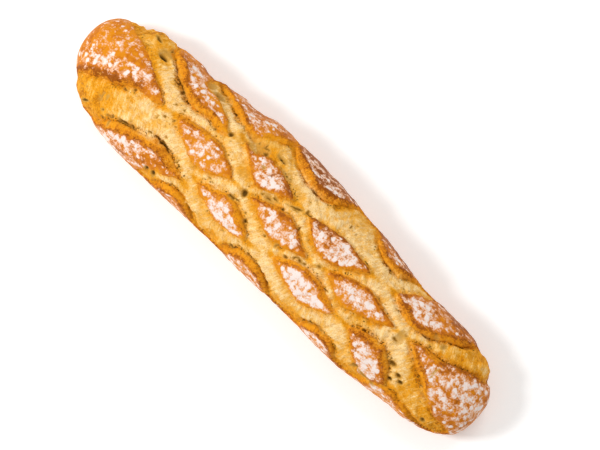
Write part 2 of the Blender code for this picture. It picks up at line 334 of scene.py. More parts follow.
# %% From corners to a bulging outline
BULGE = 0.05  # how far a side of a pad bulges, as a share of its length
BULGE_STEPS = 4
PAST_THE_BED = 44 * MM  # corners with more spread than this lie off the skin, and their sides stay straight


def pad_outline(corners):
    """The corners with points between them on bulging sides, counter-clockwise, in metres."""
    corners = np.array(corners, dtype=float) * MM
    after = np.roll(corners, -1, axis=0)
    if (corners[:, 0] * after[:, 1] - corners[:, 1] * after[:, 0]).sum() < 0:
        corners = corners[::-1]
        after = np.roll(corners, -1, axis=0)
    points = []
    for start, end in zip(corners, after):
        run = end - start
        outwards = np.array([run[1], -run[0]])
        straight = max(abs(start[1]), abs(end[1])) > PAST_THE_BED
        for t in np.arange(0.0, 1.0, 1.0 if straight else 1.0 / BULGE_STEPS):
            points.append(start + t * run + outwards * BULGE * 4.0 * t * (1.0 - t))
    return np.array(points)


print("outline points:", sum(len(pad_outline(corners)) for corners in PADS.values()))

# %% [markdown]
# ### The unrolled skin
#
# A slash is easiest to draw on the skin laid out flat. Every point of the blank gets its place there, x
# along the loaf and spread to the side. Projecting a drawing from above would do for the crown, but it
# would smear on the steep flanks. Noise pushes the places about, so that sides which are drawn straight
# wander.

# %% Where each point of the blank lies on the unrolled skin
share = np.interp(over, outline_over, outline_share)
half_width = along_loaf(HALF_WIDTHS, blank_x) * share
spread = side * half_width * read_section(section_spread, arc) + along_loaf(SIDE_SHIFTS, blank_x)
spread_rate = read_section(section_rate, arc)
skin_x = blank_x + MM * waves((1.1, 14, 11), (0.6, 5, 12))
skin_s = spread + MM * waves((0.8, 12, 13), (0.5, 4, 14))
print("spread runs from", round(spread.min() / MM), "to", round(spread.max() / MM), "mm")

# %% The way from a straight side to each point


def measure_side(start, end, rate=1.0):
    """A side's run, and the way from it to each point, both in x and spread.

    Dividing spread by the rate at which it grows turns it back into distance round the skin.
    """
    run_x, run_s = end[0] - start[0], (end[1] - start[1]) / rate
    to_x, to_s = skin_x - start[0], (skin_s - start[1]) / rate
    along = np.clip((to_x * run_x + to_s * run_s) / (run_x**2 + run_s**2), 0.0, 1.0)
    return (run_x, run_s), (to_x - along * run_x, to_s - along * run_s)


middle_line = measure_side((-LENGTH / 2, 0.0), (LENGTH / 2, 0.0))[1]
print("furthest from the middle line:", round(np.hypot(*middle_line).max() / MM), "mm")

# %% [markdown]
# ### Distance to the nearest pad
#
# Relief and colour ask how far a point is from the nearest pad's side, and which way that side faces. A
# Geometry Proximity node could tell how far, but not the rest. So a loop goes over all sides of all pads,
# with all points at once. What differs from side to side is mixed by weights that fade with distance, so
# that the looks of two sides run into each other without a seam.

# %% Distance to the nearest pad, and which way its side faces
SIDE_BLEND = 1.3 * MM  # how softly the facing of one side runs into the next
PAD_BLEND = 4 * MM  # the same for what belongs to a whole pad
BARE_TIP = 0.55  # flour that is missing on a pad's two sharp tips
BARE_TIP_END = (3, 11)  # mm in from the tip, over which the flour comes back
PLAIN_SCORCH = 0.5  # where there is no pad
TINY = 1e-300  # keeps a mean from being divided by 0 far from all sides

point_count = len(arc)
nearest = np.full(point_count, np.inf)
inside = np.zeros(point_count, dtype=bool)
near_sides, near_pads = np.full((2, point_count), TINY)
out_x, out_s, rising, pad_ear, pad_flour = np.zeros((5, point_count))
pad_scorch = np.full(point_count, PLAIN_SCORCH)
for name, corners in PADS.items():
    flour_share, scorch_share, ear_share = PAD_FINISH[name]
    outline = pad_outline(corners)
    crossings = np.zeros(point_count, dtype=int)
    for start, end in zip(outline, np.roll(outline, -1, axis=0)):
        (run_x, run_s), way_off = measure_side(start, end, spread_rate)
        length = np.hypot(run_x, run_s)
        distance = np.hypot(*way_off)
        nearest = np.minimum(nearest, distance)
        weight = np.exp(-distance / SIDE_BLEND)
        near_sides += weight
        out_x += weight * run_s / length
        out_s -= weight * run_x / length
        weight = np.exp(-distance / PAD_BLEND)
        near_pads += weight
        rising += weight * np.sign(run_x * run_s)
        pad_ear += weight * ear_share
        # A line along x from a point inside crosses the outline an odd number of times.
        spans = (start[1] > skin_s) != (end[1] > skin_s)
        rise_to = (skin_s - start[1]) / (end[1] - start[1] if end[1] != start[1] else 1.0)
        crossings += spans & (skin_x < start[0] + rise_to * (end[0] - start[0]))
    on_this_pad = crossings % 2 == 1
    inside |= on_this_pad
    from_tip = np.minimum(skin_x - min(corners)[0] * MM, max(corners)[0] * MM - skin_x)
    bare_tip = BARE_TIP * (1.0 - step_mm(from_tip, *BARE_TIP_END))
    pad_flour[on_this_pad] = (flour_share - bare_tip)[on_this_pad]
    pad_scorch[on_this_pad] = scorch_share
out_x, out_s = out_x / near_sides, out_s / near_sides
rising, pad_ear = rising / near_pads, pad_ear / near_pads
print("on pads:", round(float(inside.mean()), 2), "of the points")

# %% Where slashes end, down the flanks
SLASH_END_ARC, SLASH_TAPER = 65 * MM, 12 * MM  # how far round the skin they reach, and fade out
SLASH_CLOSING = 30 * MM  # added to the distance below that, where all counts as skin
TOP_ARC = 40 * MM  # how far round the part goes that is seen from above

closed = smooth(arc, SLASH_END_ARC - SLASH_TAPER, SLASH_END_ARC)
edge = np.where(inside, nearest, -nearest) + SLASH_CLOSING * closed
print("opened share of the top:", round(float((edge[arc < TOP_ARC] < 0).mean()), 2))

# %% [markdown]
# ## Ears
#
# Where a pad's side faces the crown, the skin lifted and tore, and its thick toasted edge shows from
# above: the baker's "ear". Sides that face away are low. Each ear could be modelled by hand as a flap.
# Working it out from the way a side faces gives all pads their ears at once. How much ear there is
# decides how wide the torn band is, how high the rim stands and how deep the crevice at its foot is.

# %% How much ear there is
FLANK_SPREAD = (5, 12)  # mm of spread over which a side stops being the crown's and is the flank's
LIFT_X, LIFT_S = -0.5, 0.86  # the way that pads on the crown lifted
CAP_X = (98, 108)  # mm from the middle over which the caps start
CAP_EAR_END = (20, 30)  # mm of spread over which a cap's ear ends

flank_side = step_mm(np.abs(spread), *FLANK_SPREAD)
faces_crown = smooth(-out_s * np.sign(spread), 0.1, 0.75) * flank_side
faces_lift = smooth(LIFT_S * out_s + LIFT_X * out_x, 0.2, 0.9) * (1.0 - flank_side)
at_cap = step_mm(np.abs(blank_x), *CAP_X) * smooth(-out_x * np.sign(blank_x), 0.1, 0.4)
low_side = smooth(-out_s, -0.1, 0.4)
cap_ear = low_side * (1.0 - step_mm(np.abs(spread), *CAP_EAR_END))
ear = pad_ear * ((faces_crown + faces_lift) * (1.0 - at_cap) + cap_ear * at_cap)
ear *= 0.85 + waves((0.4, 10, 21), (0.2, 4, 22))
print("most ear on a point:", round(float(ear.max()), 2))

# %% Ears that stand lower or higher than the rest of their pad's
# x, spread and the reach of each in mm, and the change as a share.
LOCAL_EARS = (
    (-40, 29, 12, 8, -0.85),
    (3, 30, 8, 8, 0.55),
)
MOST_EAR = 1.6


def near_place(x, s, reach_x, reach_s):
    """1 at this place on the unrolled skin, in mm, falling off smoothly over its reach."""
    return hump(skin_x, x * MM, reach_x * MM) * hump(skin_s, s * MM, reach_s * MM)


for *spot, change in LOCAL_EARS:
    ear *= 1.0 + change * near_place(*spot)
ear = np.clip(ear, 0.0, MOST_EAR) * (1.0 - closed)
print("ears on", round(float((ear > 0.3).mean()), 2), "of the points")

# %% Ragged sides, and the width of the torn band
BAND_WIDTH, EAR_BAND_WIDTH = 0.8 * MM, 4.2 * MM  # of a plain side, and what a full ear adds

edge = edge + MM * waves((0.55, 7, 23), (0.35 + 0.45 * ear, 3, 24), (0.25, 1.6, 25))
band = BAND_WIDTH + EAR_BAND_WIDTH * ear * (0.9 + waves((0.3, 5, 26), (0.25, 11, 47)))
edge_in_mm, band_in_mm = edge / MM, band / MM
print("widest torn band:", round(float(band_in_mm.max()), 1), "mm")

# %% [markdown]
# ## Relief
#
# Height is moved along the normal. From a pad to a groove the skin rises to a rim, drops over the torn
# band to the foot, sinks into a broken crevice and swells again as crumb. A displacement map can't
# undercut, so around the foot the points also move sideways: the band out over the crevice, and the
# crevice in under the band.

# %% Heights of the rim, the foot and the middle of the groove, in mm
PAD_HEIGHT, RIM_RISE, EAR_RIM_RISE = 0.9, 0.1, 1.3
FOOT_DROP, EAR_FOOT_DROP, FLUSH_RISE = 0.75, 1.25, 0.9
CRUMB_HEIGHT, FLANK_CRUMB_DROP = 0.25, 0.6
END_SWELL, TIP_SWELL = 1.2, 1.6  # crumb that swelled on the far side of both ends, and at the -X tip

rim_height = PAD_HEIGHT + RIM_RISE + EAR_RIM_RISE * ear
end_bulge = hump(np.abs(blank_x), 128 * MM, 22 * MM) * step_mm(spread, 4, 18)
tip_bulge = step_mm(-blank_x, 122, 146) * step_mm(-spread, 2, 12)
flush = step_mm(-blank_x, 102, 112) * smooth(out_s, 0.2, 0.6) * smooth(out_x, 0.0, 0.3)
foot_drop = FOOT_DROP * (1.0 - flush) + EAR_FOOT_DROP * ear
foot_height = FLUSH_RISE * flush - foot_drop * (1.0 - 0.8 * tip_bulge)
mid_height = (CRUMB_HEIGHT - FLANK_CRUMB_DROP * flank_side * (1.0 - end_bulge)) * (1.0 - tip_bulge)
mid_height += END_SWELL * end_bulge + TIP_SWELL * tip_bulge
print("highest rim", round(float(rim_height.max()), 1), "and lowest foot", round(float(foot_height.min()), 1))

# %% Height in mm, from the pad's middle down into the groove
RIM_FADE = 2.6  # mm in from the rim over which it falls to the pad
PAD_DOME, DOME_REACH = 0.9, 4.0  # how much a pad domes up, and over how many mm
BAND_FULLNESS = 0.85  # the less, the fuller the torn band
GROOVE_SLOPE = (0.3, 4.0)  # mm out from the foot over which the crumb swells

on_top = 1.0 - smooth(arc, SLASH_END_ARC - 0.4 * SLASH_TAPER, SLASH_END_ARC + 0.4 * SLASH_TAPER)
full = smooth(share, 0.05, 0.6)
on_skin = smooth(edge_in_mm - band_in_mm, -0.3, 0.6)
in_groove = smooth(-edge_in_mm, -0.1, 0.7)
past_rim = np.maximum(edge_in_mm - band_in_mm, 0.0)
skin_height = PAD_HEIGHT + (rim_height - PAD_HEIGHT) * np.exp(-past_rim / RIM_FADE)
skin_height += PAD_DOME * (1.0 - np.exp(-past_rim / DOME_REACH))
up_band = np.clip(edge_in_mm / band_in_mm, 0.0, 1.0)
band_height = foot_height + (rim_height - foot_height) * np.sin(up_band * np.pi / 2.0) ** BAND_FULLNESS
groove_height = foot_height + (mid_height - foot_height) * smooth(-edge_in_mm, *GROOVE_SLOPE)
height = np.where(edge_in_mm > band_in_mm, skin_height, np.where(edge_in_mm > 0, band_height, groove_height))
print("height runs from", round(float(height.min()), 1), "to", round(float(height.max()), 1), "mm")

# %% Crevices at the feet of the bands
CREVICE_DEPTH, CREVICE_PLACE = 0.75, -0.7  # in mm, the place counted from the foot
# Where crevices fade out: x and spread in mm, each from untouched to faded, and how far they fade.
FADED_CREVICES = (
    ((-50, -40), (22, 28), 0.80),
    ((-107, -112), (-14, -18), 0.85),
    ((-103, -108), (21, 25), 0.80),
)

torn_open = smooth(waves((1.0, (9, 6, 6), 27)), -0.60, 0.25)
at_right_end = blank_x > 0
overhung = at_cap * (1.0 - low_side) * at_right_end
sides = ear * (1.0 - 0.8 * at_cap) + 0.25 * at_cap * low_side * at_right_end
# Sets each crevice's depth and its painted shade; the right cap's overhanging side gets painted shadow.
crevice = (0.06 + 0.95 * np.minimum(sides, 0.85)) * torn_open + 0.75 * overhung
for x_ramp, s_ramp, faded in FADED_CREVICES:
    crevice *= 1.0 - faded * step_mm(spread, *s_ramp) * step_mm(blank_x, *x_ramp)
crevice = np.clip(crevice, 0.0, 1.0) * on_top
broken = smooth(waves((1.0, (2.6, 2.0, 2.4), 28)), -0.5, 0.3)
crevice_width = 0.6 + 0.5 * ear * smooth(waves((1.0, 2.8, 29)), -0.3, 0.6)
height -= CREVICE_DEPTH * crevice * broken * hump(edge_in_mm, CREVICE_PLACE, crevice_width)
print("crevices on", round(float((crevice > 0.3).mean()), 2), "of the points")

# %% [markdown]
# ### Tears, lumps and pits
#
# The crumb in a slash pulled apart as it rose, so its folds and creases run with the tear, and near the
# foot of a band it broke into pits. A sculpting brush could rough it up place by place. Noise that is
# read in directions turned with the slash does it all over, and each family of slashes gets its own turn.

# %% Noise that runs with the tears
TEAR_LEAN, TEAR_LENGTH = 1.75, 2.0  # tangent of the turn, about 60 degrees, and the length of that way
TEAR_DOWN = 0.4  # height counts for less, so tears run on down the flanks

tears = np.stack([
    (skin_s + TEAR_LEAN * rising * skin_x) / TEAR_LENGTH,
    (skin_x - TEAR_LEAN * rising * skin_s) / TEAR_LENGTH,
    blank_z * TEAR_DOWN,
], axis=1)
band_ways = np.stack([tears[:, 1], tears[:, 0], blank_z], axis=1)
fibres = unevenness(tears, (1.5 * MM, 6 * MM, 9 * MM), 31)
folds = unevenness(tears, (13 * MM, 3.4 * MM, 9 * MM), 48)
creases = 1.0 - 2.0 * np.abs(unevenness(tears, (2.2 * MM, 5 * MM, 6 * MM), 40))
flakes = unevenness(band_ways, (1.6 * MM, 5 * MM, 5 * MM), 34)
lumps = waves((1.0, 4.6, 32))
small_lumps = waves((1.0, 2.0, 33))
print("creases reach", round(float(creases.max()), 2))

# %% Pits near the feet of the bands
PIT_DEPTH = 1.1  # mm
FEW_PITS, MORE_PITS = 0.74, 0.44  # noise above the first is a pit, and near a foot less noise will do

near_foot = hump(edge_in_mm, -1.6, 1.8)
pitted = near_foot * (0.22 + 0.75 * ear + 0.25 * smooth(out_s, 0.0, 0.6))
pit_limit = FEW_PITS - MORE_PITS * pitted
pits = smooth(waves((1.0, (2.9, 2.1, 2.5), 35)), pit_limit, pit_limit + 0.2) * in_groove * on_top
print("pits on", round(float((pits > 0.3).mean()), 3), "of the points")

# %% All of it added to the height, now in metres
on_band = (1.0 - on_skin) * (1.0 - in_groove)
crumb_rise = (0.55 + 0.35 * end_bulge) * lumps + 0.36 * small_lumps
crumb_rise += 0.55 * folds + 0.30 * fibres - 0.30 * creases
height += in_groove * crumb_rise
height += on_band * (0.3 + ear) * (0.55 * flakes + 0.35 * small_lumps)
height += on_skin * (waves((0.40, 8, 36), (0.24, 3, 37)) + 0.12 * small_lumps)
height -= PIT_DEPTH * pits
height = height * MM * on_top * full

# Below the slashes the skin is calm: it sinks in places, and the bed itself stays flat.
calm = waves((0.35, 13, 38), (0.12, 4, 39)) - 0.35
height += (1.0 - on_top) * MM * calm * step_mm(blank_z, 0.5, 6)
print("deepest", round(height.min() / MM, 1), "and highest", round(height.max() / MM, 1), "mm")

# %% Sideways moves that undercut the band
UNDERCUT, EAR_UNDERCUT = 0.3 * MM, 0.9 * MM

under = UNDERCUT + EAR_UNDERCUT * ear
outward_move = 0.7 * under * hump(edge_in_mm, 0.7, 0.8) - 0.8 * under * hump(edge_in_mm, -0.6, 0.6)
outward_move += 0.6 * edge * hump(edge_in_mm, 0.0, 0.6)
print("furthest sideways:", round(np.abs(outward_move).max() / MM, 1), "mm")

# %% [markdown]
# ## Holes
#
# Gas burst through the crumb in a few places and left deep pits, and smooth hollows where a bubble was.
# Each is a dent of its own length, width and depth, and a depth below 0 is a place where the crumb
# swelled out instead. Smaller pores are left to the noise above and to the material. Modelling each hole
# as a Boolean would cost faces and leave sharp rims, which crumb doesn't have.

# %% Holes, hollows and swellings, in mm: x, spread, half length, half width, depth, how dark
HOLES = (
    (-115.4, 21.6, 3.4, 1.8, 2.6, 1.0),
    (-115.6, 24.4, 5.0, 3.4, 1.2, 0.30),
    (-126.5, 27.0, 2.8, 0.9, 1.3, 0.8),
    (-129.0, 21.5, 5.0, 2.0, 1.2, 0.1),
    (-25.0, -4.4, 2.0, 2.2, 2.4, 1.0),
    (-53.8, 16.0, 1.4, 1.7, 1.8, 0.95),
    (114.5, -21.0, 1.7, 1.2, 1.5, 1.0),
    (109.0, -23.4, 1.5, 1.1, 1.5, 1.0),
    (111.2, -19.0, 1.9, 1.1, 1.4, 0.9),
    (104.4, -16.7, 2.6, 1.5, 1.3, 0.8),
    (118.5, 11.8, 1.9, 2.4, 1.1, 0.5),
    (-77.6, -32.0, 1.6, 1.2, 1.3, 0.95),
    (-73.3, -32.5, 1.5, 1.2, 1.3, 0.95),
    (97.0, -1.8, 3.0, 5.2, 1.7, 0.30),
    (95.6, -4.9, 1.9, 1.1, 0.9, 0.75),
    (98.6, 1.2, 1.2, 1.0, 0.7, 0.6),
    (35.0, -5.5, 1.4, 1.2, 1.1, 0.7),
    (-23.0, 26.8, 4.4, 2.0, 0.9, 0.42),
    (-23.2, 26.4, 1.2, 0.9, 1.1, 0.95),
    (-20.8, 25.6, 1.3, 0.8, 1.0, 0.90),
    (-41.0, 22.3, 9.2, 4.8, 2.2, 0.17),
    (-32.4, 22.2, 1.4, 1.9, 1.1, 0.80),
    (-35.0, 25.2, 2.2, 0.8, 0.6, 0.50),
    (-40.4, 25.0, 0.9, 0.8, 0.7, 0.80),
    (-77.0, 28.8, 4.0, 2.2, 1.8, 0.5),
    (-105.8, -23.6, 3.6, 0.9, 1.0, 0.85),
    (-100.2, -21.6, 1.6, 1.0, 1.2, 0.9),
    (-132.6, -27.2, 1.8, 0.7, 0.6, 0.9),
    (-121.2, -26.4, 1.2, 0.9, 0.7, 0.65),
    (-115.2, -26.9, 2.0, 0.8, 0.8, 0.65),
    (-112.4, -29.2, 1.0, 0.8, 0.6, 0.60),
    (-126.0, -20.5, 0.7, 2.8, 0.5, 0.50),
    (-122.8, -19.0, 0.6, 2.2, 0.4, 0.40),
    (139.0, -27.0, 1.6, 0.9, 0.9, 0.8),
    (125.5, -3.0, 0.5, 5.0, 0.5, 0.6),
    (-13.0, 3.2, 4.2, 1.8, 1.1, 0.50),
    (-12.4, 2.9, 1.3, 0.9, 0.7, 0.90),
    (-13.0, 21.0, 6.0, 2.6, 0.8, 0.18),
    (-84.0, 31.0, 3.0, 2.0, 0.8, 0.30),
    (112.0, 12.8, 2.6, 1.6, 0.7, 0.20),
    (88.5, -31.0, 1.8, 1.2, 1.3, 0.9),
    (97.5, -31.0, 7.0, 0.6, 0.5, 0.65),
    (-126.5, -21.5, 1.6, 3.4, 0.8, 0.14),
    (-32.5, 3.5, 4.5, 3.5, 0.5, 0.13),
    (-27.0, 14.5, 1.3, 1.0, 0.9, 0.5),
    (-138.0, -28.5, 10.0, 8.0, -2.3, 0.0),
    (-56.0, 42.0, 9.0, 9.0, 1.8, 0.0),
    (129.0, -17.5, 6.0, 1.4, 1.0, 0.15),
    (-137.5, 27.0, 2.0, 5.0, 1.5, 0.1),
    (-126.5, 31.5, 5.5, 6.5, -1.5, 0.0),
    (-91.0, 38.0, 5.0, 8.0, 1.6, 0.0),
    (149.0, 19.5, 1.8, 5.0, 1.3, 0.1),
    (141.0, 23.0, 4.6, 7.0, -2.0, 0.0),
)
PIT_DARKNESS = 0.75
HOLES_END_ARC = 0.9 * BED_ARC  # no hole reaches further round

# How dark a hole or pit is sets the painted shade in it: tan in a shallow hollow, dark in a deep pit.
hole = PIT_DARKNESS * pits
for hole_x, hole_s, reach_x, reach_s, depth, darkness in HOLES:
    off_x = (skin_x / MM - hole_x) / reach_x
    off_s = (skin_s / MM - hole_s) / reach_s
    dent = np.exp(-((off_x**2 + off_s**2) ** 2)) * (arc < HOLES_END_ARC)
    height -= depth * MM * dent * full
    hole = np.maximum(hole, dent * darkness)
print("points in holes:", int((hole > 0.5).sum()))

# %% [markdown]
# ### Cracks in the crumb
#
# In a few slashes the crumb split in a thin ragged line. A knife cut with the Knife tool would be too
# straight and clean. Here each crack follows a few points, a wobble throws it off them, and its depth
# comes and goes.

# %% Ragged cracks, each a line of a few points in mm
CRACKS = (
    ((-10.5, 4.9), (-3, 7.8), (1.5, 9.2), (6, 11), (11, 12.9)),
    ((-31.5, -11), (-26, -10.2)),
    ((21.5, -12.3), (25, -10.8), (29, -9.8)),
    ((-41, 25.4), (-36.5, 25.8), (-32.5, 25.3)),
)
WOBBLE = 1.3 * MM
CRACK_WIDTH, CRACK_DEPTH, CRACK_DARKNESS = 0.75 * MM, 0.8 * MM, 0.9

wobble = WOBBLE * waves((1.0, 1.9, 50))
come_and_go = smooth(waves((1.0, 3.4, 51)), -0.5, 0.2)
for points in CRACKS:
    off_crack = np.full(point_count, np.inf)
    for start, end in zip(np.array(points) * MM, np.array(points[1:]) * MM):
        way_x, way_s = measure_side(start, end)[1]
        off_crack = np.minimum(off_crack, np.hypot(way_x, way_s + wobble))
    split = hump(off_crack, 0.0, CRACK_WIDTH) * come_and_go
    height -= CRACK_DEPTH * split
    # The crack is darkened with painted shade, through the same number as the holes.
    hole = np.maximum(hole, CRACK_DARKNESS * split)
print("points in holes and cracks:", int((hole > 0.5).sum()))

# %% [markdown]
# ## The finished surface
#
# The tangents of the blank turn the sideways moves into directions in space. The result is centred on the
# CAD solid, kept on or above its bed and brought inside its box. Scaling the object in the viewport would
# do that too, but then its size would hang on an unapplied scale.

# %% Move the points
ARC_STEP = 0.4 * MM
ROOM = 0.1 * MM  # left between the skin and the CAD box
LEAST = 1e-9  # keeps a length or a size from being 0


def unit(ways):
    """Each way, made 1 long."""
    return ways / np.maximum(np.linalg.norm(ways, axis=1), LEAST)[:, None]


ahead = plain_form(over, np.minimum(arc + ARC_STEP, END_ARC), side)
behind = plain_form(over, np.maximum(arc - ARC_STEP, 0.0), side)
on_crown_line = (arc < ARC_STEP)[:, None]
side_ways = unit(np.where(on_crown_line, (0.0, 1.0, 0.0), (ahead - behind) * side[:, None]))
long_ways = unit(np.cross(side_ways, outward))
downhill = long_ways * out_x[:, None] + side_ways * out_s[:, None]

loaf_points = blank + outward * height[:, None] + downhill * (outward_move * on_top * full)[:, None]
loaf_points[:, 1] -= (loaf_points[:, 1].max() + loaf_points[:, 1].min()) / 2.0
fit = np.minimum(1.0, (np.array(cad_high) - ROOM) / np.maximum(loaf_points.max(axis=0), LEAST))
loaf_points *= fit
loaf_points[:, 2] = np.maximum(loaf_points[:, 2], 0.0)
move_points(loaf_points)
loaf_size = np.ptp(loaf_points, axis=0)
print("brought to size by", np.round(fit, 4), "and spans", np.round(loaf_size / MM, 1), "mm")

# %% [markdown]
# ## What the surface knows about itself
#
# The material needs to know where skin, crumb, flour and scorched rims are. Painting that by hand as an
# image is one way. Here each point carries a few numbers, worked out with the shape, so paint and relief
# can't drift apart. Flour comes first. It lies on the skin alone, thins out towards the rims and low on
# the flanks, and is patchy.

# %% Places with more or less flour than the rest of their pad
# x, spread and the reach of each in mm, and the amount.
LOCAL_FLOUR = (
    (-107, 32, 8, 12, -0.52),
    (-76, -28, 11, 7, -0.60),
    (-98, -28, 7, 5, 0.20),
    (-90, -34, 14, 4, -0.22),
    (-69, 4, 8, 3, 0.22),
    (86, 18, 10, 8, 0.36),
    (114, 23, 11, 8, -0.32),
)
print("flour touched up in", len(LOCAL_FLOUR), "places")

# %% How floury each point is
UNDERSIDE_FLOUR, MOST_FLOUR = 0.42, 1.2
STREAK_X, STREAK_Y, STREAK_SLOPE = -112 * MM, 5.5 * MM, 0.36  # where the left cap's streak of flour lies
STREAK_WIDTH, STREAK_FLOUR = 4.6 * MM, 0.56

far_side = spread > 0
has_ear = smooth(ear, 0.2, 0.6)
underside = step_mm(arc, 43, 60)
on_waist = hump(arc, 49 * MM, 6 * MM) * smooth(waves((1.0, 13, 52)), -1.1, 0.5)
cap_rim = step_mm(-blank_x, 106, 112) * low_side * step_mm(-spread, -8, 0)

# In mm from the rim: up to bare_rim there is no flour, from floury_from on it is full.
bare_rim = 0.2 + 0.5 * has_ear
floury_from = 2.2 + 0.4 * has_ear + 0.8 * smooth(out_s, -0.2, 0.5) + 2.4 * cap_rim
from_rim = smooth(edge_in_mm - band_in_mm, bare_rim, floury_from)

streak_away = (blank_y - STREAK_Y) - STREAK_SLOPE * (blank_x - STREAK_X)
streak = hump(streak_away, 0.0, STREAK_WIDTH) * step_mm(-blank_x, 98, 106)
density = pad_flour + underside * (UNDERSIDE_FLOUR - pad_flour) + STREAK_FLOUR * streak
density += waves((0.22, 9, 41), (0.24, (4.2, 3.2, 3), 42))
for *spot, amount in LOCAL_FLOUR:
    density += amount * near_place(*spot)

thin_low = 0.60 * step_mm(arc, 48, 66)
thin_far = 0.50 * step_mm(arc, 30, 46) * far_side
thin_tip = 0.55 * step_mm(-blank_x, 140, 154)
# Flour is thinned on the far waist, so that the painted shade there shows.
thin_waist = 0.85 * on_waist * far_side
flour = from_rim * density
for thinner in (thin_low, thin_far, thin_tip, thin_waist):
    flour *= 1.0 - thinner
flour = np.clip(flour, 0.0, MOST_FLOUR)
print("floury share of the points:", round(float((flour > 0.3).mean()), 2))

# %% [markdown]
# ### Scorch and painted shade
#
# An oven browns first what stands out: the rims. A pointiness mask would find all rims alike. The
# numbers that shaped them can also tell the rims that face the far side, which are the darker ones here.
# The waist on the far side, where the skin turns away, gets painted shade in the same number.

# %% How scorched the skin is, with painted shade on the far waist
UNDERSIDE_SCORCH, LESS_SCORCH = 0.62, 0.12
RIM_SCORCH, PLAIN_RIM, RIM_SCORCH_FADE = 0.66, 0.24, 1.8  # the fades in mm in from the rim
CAP_SCORCH, CAP_SCORCH_FADE = 0.62, 3.0
FAR_WAIST_PAINTED_SHADE, MOST_SCORCH = 0.60, 1.5

scorch = pad_scorch + underside * (UNDERSIDE_SCORCH - pad_scorch) - LESS_SCORCH
scorch += waves((0.22, 18, 44), (0.28, 6, 45))
rim_facing_far = smooth(out_s, -0.3, 0.5) * step_mm(-spread, -24, -14)
dark_rim = np.maximum(rim_facing_far, has_ear)
scorch += (RIM_SCORCH * dark_rim - PLAIN_RIM) * np.exp(-past_rim / RIM_SCORCH_FADE)
scorch += CAP_SCORCH * cap_rim * np.exp(-past_rim / CAP_SCORCH_FADE)
# Painted shade on the far side's waist, where the skin turns away.
scorch += FAR_WAIST_PAINTED_SHADE * on_waist * far_side
scorch = np.clip(scorch, 0.0, MOST_SCORCH)
print("mean scorch:", round(float(scorch.mean()), 2))

# %% [markdown]
# ### Toast and painted shade
#
# Crumb that the heat reached is golden: at the ends, low on the flanks and beside the pads. Its hollows,
# the crumb under the right cap's overhanging side and a band round the waist get painted shade as well,
# and its swells are painted lighter. Scorch could serve for it too, but skin starts brown and crumb starts
# pale, so each has a number of its own.

# %% Places where the crumb is browner or paler than the rest
# x, spread and the reach of each in mm, and the amount.
LOCAL_CRUMB_TONE = (
    (-127, -24, 12, 8, 0.30),
    (-30, 23.4, 14, 5.5, 1.00),
    (-33, 4.5, 6, 5, 0.85),
    (-99, -12, 9, 5, 0.24),
    (-71, 8, 10, 4, -0.42),
    (-57, -14, 7, 4, -0.12),
    (-122, 27, 7, 5, 0.25),
    (120, -18, 10, 5, -0.15),
    (-2, 20, 7, 6, 0.20),
    (-92, 5, 14, 9, -0.12),
    (-67, 21, 9, 5, -0.30),
)
print("toast touched up in", len(LOCAL_CRUMB_TONE), "places")

# %% How toasted the crumb is, with its painted shade
FLANK_TOAST, END_TOAST, CRUMB_WAIST_PAINTED_SHADE = 0.62, 0.70, 0.40
FOOT_TOAST, FOOT_REACH = 0.55, 2.8  # beside the foot of a pad, within so many mm
TIP_TOAST, TIP_REACH = 0.85, (5.0, 1.5)  # past the sharp tips of the pads, reach in mm
TOP_TIPS = 30  # mm of spread, past which a corner isn't a tip on the top
# Painted shade in the crumb's hollows, painted light on its swells, and painted shadow under an overhang.
HOLLOW_PAINTED_SHADE, SWELL_PAINTED_LIGHT, OVERHANG_PAINTED_SHADOW = 0.40, 0.22, 0.45

at_ends = step_mm(np.abs(blank_x), 100, 122)
toast = np.maximum(FLANK_TOAST * step_mm(np.abs(spread), 24, 40), END_TOAST * at_ends)
toast += waves((0.22, 9, 46))
toast += (FOOT_TOAST + waves((0.45, 11, 49))) * hump(edge_in_mm, 0.0, FOOT_REACH)
for corners in PADS.values():
    for (tip_x, tip_s), way in ((min(corners), -1.0), (max(corners), 1.0)):
        if abs(tip_s) < TOP_TIPS:
            toast += TIP_TOAST * near_place(tip_x + way, tip_s, *TIP_REACH) * in_groove
for *spot, amount in LOCAL_CRUMB_TONE:
    toast += amount * near_place(*spot)
# Painted shade in a band round the waist.
toast += CRUMB_WAIST_PAINTED_SHADE * on_waist
# Painted shade in the crumb's hollows, and painted light on its swells.
toast += in_groove * (HOLLOW_PAINTED_SHADE * smooth(-crumb_rise, -0.7, 0.9) - SWELL_PAINTED_LIGHT)
# Painted shadow in the crumb under the right cap's overhanging side.
toast += in_groove * OVERHANG_PAINTED_SHADOW * overhung * hump(edge_in_mm, 0.0, 3.2)
toast = np.clip(toast, 0.0, 1.0)
print("mean toast in the grooves:", round(float(toast[in_groove > 0.5].mean()), 2))

# %% [markdown]
# ### Into the mesh
#
# The dough becomes a mesh object, and each set of numbers an attribute of its points. Vertex groups could
# carry them too, but they stop at 1 and can't be negative, which the distance to a pad often is.

# %% The loaf's mesh and its attributes
loaf_mesh = bpy.data.meshes.new("baguette_crust_and_crumb")
dough.to_mesh(loaf_mesh)
dough.free()
for name, values in {
    "edge_mm": edge_in_mm,
    "band_mm": band_in_mm,
    "spread": spread,
    "rising": rising,
    "flour": flour,
    "scorch": scorch,
    "toast": toast,
    "crevice": crevice,
    "pitted": pitted * on_top,
    "hole": hole,
    "at_ends": at_ends,
}.items():
    layer = loaf_mesh.attributes.new(name, "FLOAT", "POINT")
    layer.data.foreach_set("value", values.astype(np.float32))
loaf_mesh.shade_smooth()
baguette = bpy.data.objects.new("baguette_crust_and_crumb", loaf_mesh)
bpy.context.scene.collection.objects.link(baguette)
print("triangles:", sum(len(face.vertices) - 2 for face in loaf_mesh.polygons))

